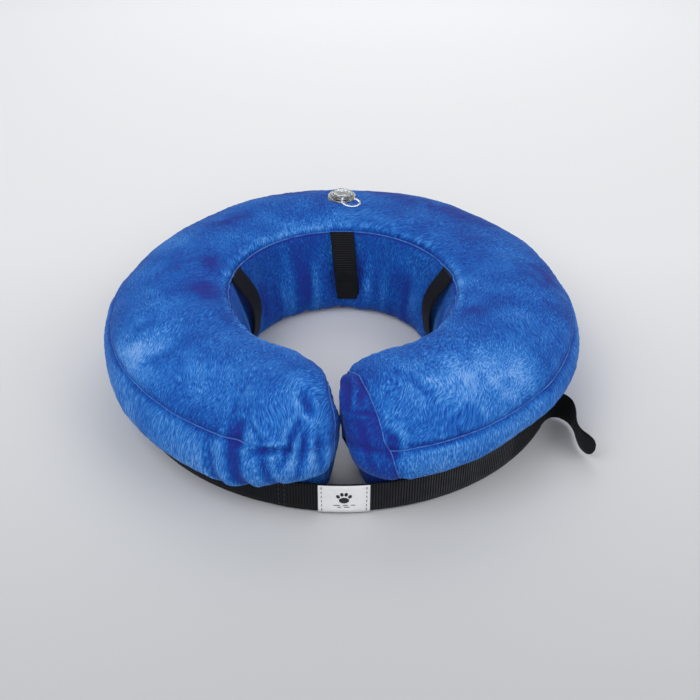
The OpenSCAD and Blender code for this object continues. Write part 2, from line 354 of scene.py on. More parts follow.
def fuzz_material(name, dark, light):
    """Brushed loop pile of touch tape."""
    made, tree, shader = new_material(
        name, Roughness=0.95, Specular_IOR_Level=0.1, Sheen_Weight=0.3, Sheen_Roughness=0.6,
        Sheen_Tint=(0.6, 0.6, 0.65, 1),
    )
    place = object_coords(tree)
    loops = speckle(tree, place, 1400.0, 3.0, 0.7)
    mats = speckle(tree, place, 220.0, 2.0, 0.5)
    tone = times(tree, loops, mats)
    tree.links.new(ramp(tree, tone, [(0.12, dark), (0.5, light)]), shader.inputs["Base Color"])
    relief(tree, shader, loops, 0.8, 0.0006)
    return made


def cloth_material(name, dark, light, pitch_mm, gloss=0.6):
    """Fine plain weave for the label, its print and the zip's tape."""
    made, tree, shader = new_material(name, Roughness=gloss, Specular_IOR_Level=0.4)
    weave = attribute(tree, "weave").outputs["Vector"]
    parts = add(tree, "ShaderNodeSeparateXYZ", Vector=weave)
    turns = 2 * math.pi / pitch_mm
    warp = maths(tree, "SINE", times(tree, parts.outputs[0], turns))
    weft = maths(tree, "SINE", times(tree, parts.outputs[1], turns))
    cloth = times(tree, warp, weft)
    shade = stretched(tree, weave, (0.12, 0.12, 1), 3.0)
    tone = plus(tree, times(tree, cloth, 0.25), shade)
    tree.links.new(ramp(tree, tone, [(0.15, dark), (0.75, light)]), shader.inputs["Base Color"])
    tree.links.new(plus(tree, gloss - 0.1, times(tree, shade, 0.25)),
                   shader.inputs["Roughness"])
    relief(tree, shader, cloth, 0.4, 0.0002)
    return made


def speckled_material(name, dark, light, scale, bump_mm, **sockets):
    """A moulded or cast surface: slight mottling, fine grain and small scuffs."""
    made, tree, shader = new_material(name, **sockets)
    place = object_coords(tree)
    mottle = speckle(tree, place, scale, 4.0, 0.6)
    grain = speckle(tree, place, scale * 9, 2.0, 0.5)
    tree.links.new(ramp(tree, mottle, [(0.3, dark), (0.7, light)]), shader.inputs["Base Color"])
    rough = shader.inputs["Roughness"].default_value
    tree.links.new(plus(tree, rough, times(tree, maths(tree, "SUBTRACT", mottle, 0.5), 0.2)),
                   shader.inputs["Roughness"])
    relief(tree, shader, grain, 0.3, bump_mm * MM)
    return made


plush = plush_material("plush_blue")
# The wall and end copies are painted shade: slightly darker on the neck wall and underside, much darker on
# the right end, which turns away from the light.
plush_wall_shaded = plush_material("plush_blue_wall_painted_shade", light=-0.04)
plush_end = plush_material("plush_blue_end_painted_shade", light=-0.27)
# The seam cords are a lighter blue than the plush: a painted highlight on the seam ridges.
seam_fold = speckled_material("seam_blue_painted_highlight", (0.012, 0.085, 0.42), (0.060, 0.22, 0.62), 260.0, 0.5,
                              Roughness=0.8, Sheen_Weight=0.1)
webbing = webbing_material("webbing_black", (0.0012, 0.0012, 0.0016), (0.022, 0.022, 0.026))
# The front and right strap's copy has a lighter grey and a painted sheen along its length.
webbing_front = webbing_material("webbing_painted_sheen", (0.0012, 0.0012, 0.0016), (0.042, 0.042, 0.048),
                                 sheen_span=(15, 75))
webbing_tail = webbing_material("webbing_tail_black", (0.002, 0.002, 0.0025), (0.014, 0.014, 0.017), 0.9, 0.7)
loop_pile = fuzz_material("touch_tape_loops", (0.0012, 0.0012, 0.0015), (0.012, 0.012, 0.014))
hook_face = webbing_material("touch_tape_hooks", (0.002, 0.002, 0.002), (0.020, 0.020, 0.022), 1.2, 0.4)
label_cloth = cloth_material("label_satin", (0.88, 0.89, 0.89), (0.98, 0.98, 0.97), 0.5, 0.45)
ink = cloth_material("label_print", (0.006, 0.006, 0.007), (0.020, 0.020, 0.022), 0.5, 0.6)
thread = speckled_material("thread_black", (0.004, 0.004, 0.005), (0.025, 0.025, 0.028), 900.0, 0.15,
                           Roughness=0.6, Sheen_Weight=0.2)
zip_cloth = cloth_material("zip_cloth_navy", (0.010, 0.035, 0.19), (0.020, 0.075, 0.34), 0.8, 0.7)
zip_nylon = speckled_material("zip_nylon_navy", (0.010, 0.04, 0.24), (0.020, 0.08, 0.36), 400.0, 0.1,
                              Roughness=0.35)
metal = speckled_material("zip_metal", (0.50, 0.50, 0.51), (0.68, 0.68, 0.69), 500.0, 0.1,
                          Roughness=0.28, Metallic=1.0)
vinyl = speckled_material("clear_vinyl", (0.90, 0.94, 0.97), (0.97, 0.985, 0.99), 300.0, 0.12,
                          Roughness=0.06, IOR=1.38, Transmission_Weight=0.96, Coat_Weight=0.4)
film = speckled_material("bladder_film", (0.55, 0.60, 0.66), (0.72, 0.76, 0.80), 90.0, 0.4,
                         Roughness=0.25, IOR=1.5, Transmission_Weight=0.5)


# ---------------------------------------------------------------- the plush ring
GAP = 1.5
CENTRE_R, CENTRE_Z = 138.0, 38.0
MEAN_R = 135.0
ROUND_IN, ROUND_OUT = 46.0, 34.0
ROUND_TOP = (27.0, 12.0)
ROUND_LOW = (16.0, 6.0)
# The section's reach from its centre: inwards, outwards, up, down, and on average across and up
REACH_IN, REACH_OUT, REACH_TOP, REACH_LOW = 62, 49, 47, 38
HALF_WIDE, HALF_TALL = 50, 42
# Radii that turn an angle into a length, on the neck wall and on the outer band
NECK_R, BAND_R = 80, 178
PILE_SEED, RELIEF_SEED = 40, 100
FLOOR_CLEAR, ENDS_CLEAR = 0.3, 0.25
FLAT_BLEND = 90.0
NECK_SEAM = (90.0, 76.0)
OUTER_SEAM = (187.0, 56.0)
LOW_SEAM = (161.0, 0.8)
FOOT_SEAM = (90.0, 0.6)
WALL_TOP = (172.0, 31.0)
WALL_FOOT = (171.5, 12.0)
INNER_FOOT = (75.8, 16.0)
SEAM_RISE = 7.0
# How far the lower band sags over the strap: places along the ring in degrees, and millimetres
SAG = {
    "left": [(96, 0), (122, 12), (154, 12), (163, 4), (168, 0)],
    "right": [(138, 0), (150, 2), (163, 2), (172, 0)],
}

inner_line = np.vstack([bezier([FOOT_SEAM, (82, 0.6), (76.5, 4), INNER_FOOT]),
                        bezier([INNER_FOOT, (76.5, 38), (84, 58), NECK_SEAM])[1:]])
top_line = bezier([NECK_SEAM, (100, 88), (168, 94), OUTER_SEAM])
outer_line = np.vstack([bezier([OUTER_SEAM, (194, 43), (183, 35), WALL_TOP]),
                        bezier([WALL_FOOT, (171.5, 5), (168, 1), LOW_SEAM])])
bottom_line = np.array([LOW_SEAM, FOOT_SEAM])
PANEL_STEPS = {"inner": 58, "top": 84, "outer": 46, "bottom": 24}
top_and_outer = np.vstack([top_line, outer_line[1:]])
seam_at = lengths(top_line)[-1] - SEAM_RISE
before_seam = lengths(top_and_outer) < seam_at
seam_point = [np.interp(seam_at, lengths(top_and_outer), top_and_outer[:, k]) for k in range(2)]
top_line = np.vstack([top_and_outer[before_seam], seam_point])
outer_line = np.vstack([seam_point, top_and_outer[~before_seam]])
panel_lines = [even(line, steps) for line, steps in
               zip([inner_line, top_line, outer_line, bottom_line], PANEL_STEPS.values())]
section = np.vstack([panel_lines[0], *[line[1:] for line in panel_lines[1:]]])
V_NECK = PANEL_STEPS["inner"]
V_OUTER = V_NECK + PANEL_STEPS["top"]
V_LOW = V_OUTER + PANEL_STEPS["outer"]
V_END = V_LOW + PANEL_STEPS["bottom"]
around = lengths(section)
b_line = around - around[V_NECK]
B_OUTER = b_line[V_OUTER]
B_LOW = b_line[V_LOW]

CAP_STEPS, ROUND_STEPS, RING_STEP = 14, 44, 1.6
SEAM_STEP = 22
# How far the end panel's seam lies from the ring's end, at places round the section
END_SEAM = {
    "right": [(b_line[0], 7), (-40, 5), (0, 6), (20, 9), (35, 15), (64, 20), (80, 23), (95, 25), (104, 29),
              (130, 33), (B_LOW, 28), (b_line[-1], 10)],
    "left": [(b_line[0], 3), (0, 2), (B_OUTER, 2), (B_LOW, 3), (b_line[-1], 3)],
}
# How far each end leans back from the gap at its foot
LEAN = {"right": 17.0, "left": 8.0}
LOOP_PLACES = (0, 76)
# The line where the two ends meet lies this far left of centre at the neck
MEET_LEFT = 5.0

# How much the lips of the folds catch the light, and the share of each fold's depth that is used
FOLD_SHINE = {"right": 0.30, "left": 0.45}
FOLD_DEPTH = {"right": 0.55, "left": 1.0}

# Folds gathered into each front end: places as (distance from the end, b), with half width and depth
FOLDS = {
    "left": [
        ([(25, 80), (27, 94), (37, 114)], 2.8, 4.2),
        ([(20, 58), (20, 66), (20, 76)], 4.6, 2.6),
        ([(56, 90), (60, 118), (44, 150)], 4.2, 4.4),
        ([(22, 84), (20, 102), (28, 124)], 3.6, 3.0),
        ([(60, 56), (61, 78), (64, 102)], 1.8, 1.1),
        ([(54, 78), (51, 88), (46, 100)], 1.8, 1.3),
        ([(13, 92), (11, 106), (12, 124)], 3.4, 1.8),
        ([(54, 112), (42, 103), (30, 100)], 2.8, 2.2),
        ([(44, 98), (42, 116), (36, 134)], 3.2, 2.6),
        ([(70, 108), (66, 122), (58, 140)], 3.4, 2.0),
    ],
    "right": [
        ([(3, 28), (8, 48), (5, 72)], 3.8, 3.4),
        ([(12, 38), (17, 52), (13, 70)], 3.2, 2.6),
        ([(5, 76), (14, 73), (23, 77)], 2.8, 1.8),
        ([(28, 90), (29, 97), (32, 106)], 4.0, 5.0),
        ([(34, 99), (52, 104), (74, 102)], 3.0, 1.4),
        ([(10, 84), (12, 100), (20, 118)], 3.6, 1.8),
        ([(38, 40), (48, 52), (56, 70)], 4.0, 1.2),
    ],
}

# Brushed patches of painted highlight and painted shade on the top panel: plan place, half sizes, turn in
# degrees and lightness
PAINTED_LIGHT_PATCHES = [
    (-148, -72, 26, 52, 0, 1.25), (-110, -100, 44, 24, -30, 0.7), (-60, -140, 34, 20, 0, 0.5),
    (-140, 60, 22, 26, 30, 0.5), (-120, 4, 20, 50, 0, 0.3), (-30, -150, 16, 26, 0, 0.4),
    (113, -112, 50, 28, 35, 1.3), (60, -125, 34, 24, 20, 0.6), (54, 88, 26, 9, -32, 0.9),
    (-30, 96, 44, 8, 14, 0.7), (138, 40, 26, 14, 0, 0.6), (165, -40, 14, 30, 0, 0.3),
    (162, 8, 20, 42, 10, -1.3), (105, -38, 28, 16, 30, -1.2), (86, 122, 56, 14, -36, -1.1),
    (30, 168, 60, 12, -10, -1.1), (-106, 24, 14, 18, 0, -1.5), (-107, -16, 18, 14, 0, -1.5),
    (-98, 93, 28, 15, 42, -1.2), (-77, -160, 20, 14, 20, -1.1), (-40, 158, 50, 14, 14, -1.1),
    (-90, -60, 30, 14, 30, -0.4), (112, 60, 18, 24, 0, -0.6), (20, -128, 14, 12, 0, -0.5),
]


def ease(run, depth, xi):
    """How far a rounded end has drawn in, at xi from the end."""
    t = np.clip(1 - xi / run, 0, 1)
    return depth * (1 - np.sqrt(np.maximum(1 - t * t, 0)))


def end_steps(side):
    """Distance from the end for each slice and place round the section, with the seam on one slice."""
    seam_xi = np.interp(b_line, *np.array(END_SEAM[side]).T)
    seam_turn = np.arccos(1 - seam_xi / ROUND_IN)
    share = np.linspace(0, 1, ROUND_STEPS + 1)[:, None]
    at = SEAM_STEP / ROUND_STEPS
    turn = np.where(share < at, share / at * seam_turn,
                    seam_turn + (share - at) / (1 - at) * (np.pi / 2 - seam_turn))
    near = ROUND_IN * (1 - np.cos(turn))
    last = np.pi * MEAN_R - GAP
    far = np.linspace(ROUND_IN, last, int((last - ROUND_IN) / RING_STEP))[1:, None]
    return np.vstack([np.zeros((CAP_STEPS, len(b_line))), near, far + 0 * b_line])


def meeting_line(b):
    """How far left of the centre plane the two ends meet, round the section."""
    return -MEET_LEFT * (1 - smooth((b - 30) / 65))


def ring_base(side, inset=0.0):
    """The smooth half ring, as a grid of points, with each point's phi and distance from the end."""
    xi = end_steps(side)
    shrink = np.ones(len(xi))
    shrink[:CAP_STEPS] = np.linspace(0, 1, CAP_STEPS + 1)[:-1]
    shrink = shrink[:, None]
    s_in = 1 - ease(ROUND_IN, ROUND_IN, xi) / REACH_IN
    s_out = 1 - ease(ROUND_OUT, ROUND_OUT, xi) / REACH_OUT
    s_top = 1 - ease(*ROUND_TOP, xi) / REACH_TOP
    s_low = 1 - ease(*ROUND_LOW, xi) / REACH_LOW
    radius = (section[:, 0] - CENTRE_R) * (1 - inset / HALF_WIDE)
    height = (section[:, 1] - CENTRE_Z) * (1 - inset / HALF_TALL)
    radius = CENTRE_R + radius * np.where(radius < 0, s_in, s_out) * shrink
    height = CENTRE_Z + height * np.where(height < 0, s_low, s_top) * shrink
    droop = smooth((b_line - B_OUTER) / 26) * smooth((B_OUTER + 50 - b_line) / 14)
    place = 180 - np.degrees((GAP + xi) / MEAN_R)
    droop = droop * np.interp(place, *np.array(SAG[side], float).T)
    radius, height = radius + 0.2 * droop, height - droop
    lean = LEAN[side] * np.clip(1 - height / 62, 0, 1) ** 1.4 * (1 - smooth(xi / 60))
    shift = SIDES[side] * meeting_line(b_line) * (1 - smooth(xi / 70))
    x = GAP + xi + lean + shift - 0.8 * (1 - shrink**2) + inset * (1 - smooth(xi / 60))
    share = np.maximum(x, 0) / radius
    plane = np.pi - np.arcsin(share / (1 + share**8) ** 0.125)
    phi = plane + (np.pi - x / MEAN_R - plane) * smooth(xi / FLAT_BLEND)
    phi = np.maximum(phi, 0)
    phi[-1] = 0
    points = np.stack([radius * np.sin(phi) * SIDES[side], radius * np.cos(phi), height], axis=-1)
    return points, phi, xi


def outward(points, side):
    """Unit normals of a half ring's grid, pointing out of the ring."""
    down = np.gradient(points, axis=0)
    cross = np.gradient(points, axis=1)
    cross[:, 0] = cross[:, -1] = cross[:, 0] + cross[:, -1]
    normal = unit(np.cross(cross, down)) * SIDES[side]
    normal[: CAP_STEPS - 3] = (-SIDES[side], 0, 0)
    return normal


def crease(xi, b, route, half, depth):
    """A fold: a groove along a curve with soft lips beside it."""
    p = np.array(route, float)
    t = np.linspace(0, 1, 14)[:, None]
    line = (1 - t) ** 2 * p[0] + 2 * (1 - t) * t * p[1] + t * t * p[2]
    line[:, 0] += 1.2 * np.sin(np.linspace(0, 5, 14))
    best = np.full(xi.shape, 1e9)
    fade = np.zeros(xi.shape)
    for k in range(13):
        d = line[k + 1] - line[k]
        s = np.clip(((xi - line[k, 0]) * d[0] + (b - line[k, 1]) * d[1]) / (d @ d), 0, 1)
        gone = np.hypot(xi - line[k, 0] - s * d[0], b - line[k, 1] - s * d[1])
        near = gone < best
        best = np.where(near, gone, best)
        fade = np.where(near, (k + s) / 13, fade)
    taper = np.sin(np.pi * np.clip(fade * 0.86 + 0.07, 0, 1)) ** 0.7
    lips = np.exp(-((best / half - 1.9) ** 2) * 2.0)
    return depth * taper * (0.55 * lips - np.exp(-((best / half) ** 2)))


def pile_way(side, phi, b, panel):
    """Coordinates that the pile's streaks follow, in two directions, and where each one rules."""
    sign = SIDES[side]
    seed = PILE_SEED
    spread = np.where(panel == 1, NECK_SEAM[0] + b, 0)
    flat = panel == 1
    x = np.where(flat, spread * np.sin(phi), phi * np.where(panel == 0, NECK_R, BAND_R)) * sign
    y = np.where(flat, spread * np.cos(phi), b)
    wx = x + 10 * noise(x / 46, y / 46, seed) + 2.5 * noise(x / 14, y / 14, seed + 1)
    wy = y + 10 * noise(x / 46, y / 46, seed + 2) + 2.5 * noise(x / 14, y / 14, seed + 3)
    ways = []
    lies = {"right": (25, 78), "left": (62, 108)}[side]
    for angle in (np.where(flat, lies[0], 84), np.where(flat, lies[1], 70)):
        c, s = np.cos(np.radians(angle)), np.sin(np.radians(angle))
        ways.append((wx * c + wy * s, -wx * s + wy * c))
    mottled = noise(x / 38, y / 38, seed + 4)
    if side == "right":
        turn = smooth(0.5 - y / 70 + 0.55 * mottled)
    else:
        turn = smooth(0.45 + y / 130 + 0.8 * mottled)
    return ways, np.where(flat, turn, smooth(0.5 + mottled)), x, y


def half_ring(side):
    """The finished half ring: its points, and the attributes that its material reads."""
    points, phi, xi = ring_base(side)
    rows, columns = phi.shape
    b = b_line + 0 * phi
    column = np.arange(columns)[None, :] + 0 * phi
    panel = np.digitize(column, [V_NECK, V_OUTER, V_LOW])
    ways, turn, px, py = pile_way(side, phi, b, panel)
    seed = RELIEF_SEED
    a = phi * MEAN_R * SIDES[side]
    around_neck = phi * NECK_R * SIDES[side]
    row = np.arange(rows)[:, None] + 0 * phi
    cap_fade = smooth((row - 2) / 8)

    to_neck = np.abs(b)
    to_outer = np.abs(b - B_OUTER)
    to_low = np.minimum(np.abs(b - B_LOW), np.abs(b - b_line[0]))
    seam_row = CAP_STEPS + SEAM_STEP
    seam_xi = xi[seam_row]
    to_end = np.abs(xi - seam_xi) + 6 * (row < CAP_STEPS)

    lift = 1.6 * noise(a / 64, b / 46, seed) + 0.7 * noise(a / 25, b / 30, seed + 1)
    lift *= np.where(panel == 3, 0.25, 1)
    puff = 1 - np.exp(-to_neck / 9)
    gather = noise(a / 7.5, b / 30, seed + 2) * np.exp(-to_neck / 10)
    gather += 1.2 * noise(a / 11, b / 36, seed + 3) * np.exp(-to_outer / 11)
    gather += 1.3 * noise(a / 9, b / 26, seed + 4) * np.exp(-to_low / 12) * (panel != 3)
    lift += 0.75 * gather
    gathered = smooth((xi - 44) / 18) if side == "left" else 1
    grooves = 1.9 * np.exp(-((to_neck / 2.6) ** 2)) + 1.5 * gathered * np.exp(-((to_outer / 2.8) ** 2))
    grooves += 1.0 * np.exp(-((to_low / 3.0) ** 2)) * (panel != 3)
    grooves += 1.7 * np.exp(-((to_end / 2.6) ** 2))
    lift += 0.5 * puff - grooves
    wall = (panel == 0) * np.sin(np.pi * np.clip((b - b_line[0]) / -b_line[0], 0, 1))
    lift += 1.9 * wall * noise(around_neck / 11, b / 50, seed + 5)
    for degrees in LOOP_PLACES:
        aside = (phi - np.radians(degrees)) * NECK_R
        lift -= (panel == 0) * (0.8 * lift + 1.3) * np.exp(-((aside / 12) ** 4))
    folds = sum(crease(xi, b, route, 0.72 * half, depth) for route, half, depth in FOLDS[side])
    lift += FOLD_DEPTH[side] * folds * (1 - 0.45 * smooth((b - B_OUTER) / 12))
    along, across = ways[0]
    along_b, across_b = ways[1]
    tuft, fine = (
        (1 - turn) * noise(across / wide, along / long, seed + more)
        + turn * noise(across_b / wide, along_b / long, seed + more)
        for wide, long, more in ((2.8, 9, 6), (1.7, 6, 7)))
    lift += (0.28 * tuft + 0.24 * fine) * (panel != 3)
    points = points + outward(points, side) * (lift * cap_fade)[..., None]
    points[-1, :, 0] = 0
    points[..., 2] = np.maximum(points[..., 2], FLOOR_CLEAR)
    near = points[:CAP_STEPS + 20, :, 0] - meeting_line(b_line)
    near = SIDES[side] * np.maximum(SIDES[side] * near, ENDS_CLEAR)
    points[:CAP_STEPS + 20, :, 0] = near + meeting_line(b_line)

    nap = 0.30 * noise(px / 17, py / 17, seed + 8) + 0.30 * noise(px / 42, py / 42, seed + 9)
    broken = noise(px / 9, py / 9, seed + 12)
    # Painted highlight and painted shade in patches on the top panel, broken up by noise
    for x, y, rx, ry, angle, light in PAINTED_LIGHT_PATCHES:
        c, s = math.cos(math.radians(angle)), math.sin(math.radians(angle))
        dx, dy = points[..., 0] - x, points[..., 1] - y
        gone = ((dx * c + dy * s) / rx) ** 2 + ((dy * c - dx * s) / ry) ** 2
        nap += 0.62 * light * np.exp(-gone) * (1 + 0.7 * broken) * (panel == 1)
    # Painted highlight along the bulge just under the outer seam
    nap += 0.5 * (panel == 2) * smooth((b - B_OUTER) / 6) * smooth((B_OUTER + 40 - b) / 20)
    # Painted highlight on the top panel's lip beside the neck seam
    edge = 0.6 + 0.6 * noise(a / 5, b / 9, seed + 10)
    nap += 0.9 * (panel == 1) * np.exp(-((to_neck - 5) / 4.0) ** 2) * edge
    # Painted shade in the seam grooves
    nap -= 0.35 * grooves
    # Painted shade in the fold grooves and painted highlight on their lips
    shine = FOLD_SHINE[side] * (1 - 0.5 * smooth((b - B_OUTER) / 12))
    nap += np.where(folds < 0, 0.42 * np.clip(folds, -3.0, 0), shine * np.clip(folds, 0, 1.6))
    # Painted light and shade in soft upright folds down the neck wall
    nap += 0.95 * wall * noise(around_neck / 8, b / 45, seed + 11)
    vectors = [np.stack([w[0], w[1], 0 * w[0]], axis=-1) for w in ways]
    return {"points": points, "xi": xi, "phi": phi,
            "attributes": {"pile_a": vectors[0], "pile_b": vectors[1], "turn": turn, "nap": nap}}


VALVE = np.array([0.0, 137.0])
HOLE_R, HOLE_CUT, HOLE_REACH = 13.0, 8.0, 28.0


def open_for_valve(points):
    """Draws the grid back from the valve, and says which faces stay round the hole."""
    away = points[..., :2] - VALVE
    gone = np.linalg.norm(away, axis=-1)
    above = points[..., 2] > 60
    kept = ~((gone < HOLE_CUT) & above)
    faces = kept[:-1, :-1] & kept[1:, :-1] & kept[:-1, 1:] & kept[1:, 1:]
    rim = np.zeros(gone.shape, bool)
    for di in (0, 1):
        for dj in (0, 1):
            rim[di:rim.shape[0] - 1 + di, dj:rim.shape[1] - 1 + dj] |= ~faces
    pushed = HOLE_R + (gone - HOLE_CUT) * (HOLE_REACH - HOLE_R) / (HOLE_REACH - HOLE_CUT)
    pushed = np.where(rim & above, HOLE_R, pushed)
    move = (gone < HOLE_REACH) & above
    scale = np.where(move, pushed / np.maximum(gone, 1e-6), 1)
    out = points.copy()
    out[..., :2] = VALVE + away * scale[..., None]
    sunk = np.exp(-np.maximum(scale * gone - HOLE_R, 0) / 2.2) * move
    out[..., 2] -= 0.5 * sunk
    return out, faces


def bend_with_arm(piece):
    """Bakes the piece's placement into its mesh."""
    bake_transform(piece)


made_halves = {side: half_ring(side) for side in SIDES}


def make_plush(side):
    made = made_halves[side]
    points, faces = open_for_valve(made["points"])
    attributes = made["attributes"]
    seam_row = CAP_STEPS + SEAM_STEP
    panels = {
        "inner": (0, V_NECK, plush_wall_shaded), "top": (V_NECK, V_OUTER, plush),
        "outer": (V_OUTER, V_LOW, plush), "bottom": (V_LOW, V_END, plush_wall_shaded),
    }
    for panel, (v0, v1, material) in panels.items():
        rows, columns = slice(seam_row, None), slice(v0, v1 + 1)
        keep = faces[seam_row:, v0:v1] if panel == "top" else None
        part = {k: v[rows, columns] for k, v in attributes.items()}
        piece = grid_piece(f"plush_{panel}_{side}", points[rows, columns], part, material,
                           flip=side == "left", keep=keep)
        bend_with_arm(piece)
        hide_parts(f"cover_{panel}_{side}", f"cover_{panel}_back")
    part = {k: v[: seam_row + 1] for k, v in attributes.items()}
    end = grid_piece(f"plush_end_{side}", points[: seam_row + 1], part,
                     plush_end if side == "right" else plush, flip=side == "left")
    bend_with_arm(end)
    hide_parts(f"end_panel_{side}")

    lift = 0.25
    lines = {"neck": points[seam_row:, V_NECK], "outer": points[seam_row:, V_OUTER],
             "low": points[seam_row:, V_LOW]}
    normal = outward(points, side)
    ups = {"neck": normal[seam_row:, V_NECK], "outer": normal[seam_row:, V_OUTER],
           "low": normal[seam_row:, V_LOW]}
    sizes = {"neck": 0.6, "outer": 0.4, "low": 0.5}
    for name, line in lines.items():
        wavy = 0.25 * noise(np.arange(len(line)) / 3.0, 0 * np.arange(len(line)), 210)
        sunk = 0.9 * (1 - smooth((made["xi"][seam_row:, V_OUTER] - 44) / 18))
        sunk = sunk * (side == "left") * (name == "outer")
        raised = line + ups[name] * (lift + wavy - sunk)[:, None]
        raised[:, 2] = np.maximum(raised[:, 2], 2 * sizes[name])
        raised[-1, 0] = 0
        cord = tube(f"seam_{name}_{side}", raised, sizes[name] * (1 + wavy), seam_fold)
        bend_with_arm(cord)
    loop = (points[seam_row] + normal[seam_row] * 0.2)[:-1]
    loop[:, 2] = np.maximum(loop[:, 2], 0.8)
    cord = tube(f"seam_end_{side}", loop, 0.4, seam_fold, closed=True)
    bend_with_arm(cord)


def make_bladder(side):
    """The air bladder's film, close inside the cover."""
    points, phi, xi = ring_base(side, inset=6.0)
    rows = np.concatenate([np.arange(CAP_STEPS, CAP_STEPS + ROUND_STEPS, 3),
                           np.arange(CAP_STEPS + ROUND_STEPS, len(points) - 1, 4), [len(points) - 1]])
    rows = np.concatenate([np.arange(0, CAP_STEPS, 3), rows])
    columns = np.concatenate([np.arange(0, V_END, 3), [V_END]])
    grid = points[np.ix_(rows, columns)]
    grid[..., 0] = SIDES[side] * np.maximum(SIDES[side] * grid[..., 0], 3.0 * (grid[..., 1] < 0))
    grid[-1, :, 0] = 0
    grid[:, -1] = grid[:, 0]
    grid, keep = open_for_valve(grid)
    piece = grid_piece(f"bladder_film_{side}", grid, {}, film, flip=side == "left", keep=keep)
    bend_with_arm(piece)
    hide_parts(f"bladder_{side}", "bladder_back")


# ---------------------------------------------------------------- webbing
def strip(name, spine, up, out, width, thick, material, rib=0.0, pitch=2.0, fuzz=0.0, across=12):
    """A strap along a spine: closed, with rounded edges and real ribs. width and thick may change."""
    spine, up, out = (np.asarray(v, float) for v in (spine, up, out))
    count = len(spine)
    s = lengths(spine)
    width = np.broadcast_to(width, count)
    thick = np.broadcast_to(thick, count)
    u = np.linspace(-1, 1, across + 1)
    face = np.concatenate([u, u[::-1]])
    level = np.concatenate([np.ones(across + 1), -np.ones(across + 1)])
    edge = np.clip((1 - np.abs(face)) * across / 2, 0, 1)
    level = level * np.where(edge < 1, 0.45, 1)
    wave = rib * np.cos(2 * np.pi * s / pitch)
    wave = wave + fuzz * noise(s / 0.9, 0 * s, 301)
    half = width[:, None] / 2 * face[None, :]
    rise = level[None, :] * (thick[:, None] / 2 + wave[:, None] * (np.abs(level) > 0.9)[None, :])
    if fuzz:
        rise = rise + level[None, :] * fuzz * noise(s[:, None] / 0.8, half / 0.8, 302)
        half = half + fuzz * noise(s[:, None] / 0.9, face[None, :] * 3, 303)
    points = spine[:, None] + half[..., None] * up[:, None] + rise[..., None] * out[:, None]
    weave = np.stack([s[:, None] + 0 * half, half, 0 * half], axis=-1)
    faces = closed_rings(count, len(face))
    piece = mesh_piece(name, points.reshape(-1, 3), faces, {"weave": weave.reshape(-1, 3)}, material)
    clean_up(piece, normals=True)
    return piece


def on_circle(radius, degrees, height):
    turn = np.radians(degrees)
    return np.stack([radius * np.cos(turn), radius * np.sin(turn), height + 0 * turn], axis=-1)


def round_the_ring(name, a0, a1, r_in, r_out, z0, z1, material, step=0.5, **ways):
    """A strap that lies round the ring between two angles. r_in and z1 may be functions of the angle."""
    degrees = np.linspace(a0, a1, int(math.radians(a1 - a0) * r_out / step))
    r_in, z1 = (v(degrees) if callable(v) else v for v in (r_in, z1))
    spine = on_circle((r_in + r_out) / 2, degrees, (z0 + z1) / 2)
    out = on_circle(1, degrees, 0)
    up = np.tile([0.0, 0.0, 1.0], (len(degrees), 1))
    return strip(name, spine, up, out, z1 - z0, r_out - r_in, material, **ways)


STRAP_IN, STRAP_OUT = 174.0, 176.0
STRAP_Z = (2.0, 27.0)


def make_straps():
    left = round_the_ring("strap_left", 215, 272, lambda a: 172.3 + 1.7 * smooth((a - 252) / 8),
                          STRAP_OUT, *STRAP_Z, webbing, rib=0.14)
    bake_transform(left)
    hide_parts("strap_root", "strap_span")
    front = round_the_ring("strap_front", 272, 316, STRAP_IN, STRAP_OUT, *STRAP_Z, webbing_front, rib=0.14)
    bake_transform(front)
    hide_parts("strap_end")
    right = round_the_ring("strap_right", 316, 331.5, STRAP_IN, STRAP_OUT, *STRAP_Z, webbing_front, rib=0.14)
    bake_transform(right)


def make_tail():
    """The free tail: peels off along the ring, curls outwards and swings to the front."""
    start = on_circle(175, 331.2, 0)[:2]
    along = on_circle(8, 331.2 + 90, 0)[:2]
    line = np.vstack([
        bezier([start, start + along, (163, -70), (170, -74)]),
        bezier([(170, -74), (177, -78), (178, -88), (177, -96)]),
        bezier([(177, -96), (176, -106), (176, -117), (187, -122)]),
    ])
    line = even(line, 150)
    ahead = unit(np.gradient(line, axis=0))
    out = np.stack([ahead[:, 1], -ahead[:, 0], 0 * ahead[:, 0]], axis=1)
    spine = np.column_stack([line, np.full(len(line), 14.5)])
    left_over = lengths(line)[-1] - lengths(line)
    twist = np.radians(13) * smooth((58 - left_over) / 48)[:, None]
    up = np.array([0.0, 0.0, 1.0]) * np.cos(twist) + out * np.sin(twist)
    out = out * np.cos(twist) - np.array([0.0, 0.0, 1.0]) * np.sin(twist)
    tip = 9.0
    width = 24 * np.sqrt(np.clip(1 - np.clip(1 - left_over / tip, 0, 1) ** 2, 0.03, 1)) ** 0.8
    width = np.minimum(width, 24)
    tail = strip("strap_tail_end", spine, up, out, width, 1.6, webbing_tail, rib=0.05, pitch=1.0)
    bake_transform(tail)
    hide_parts("strap_tail")


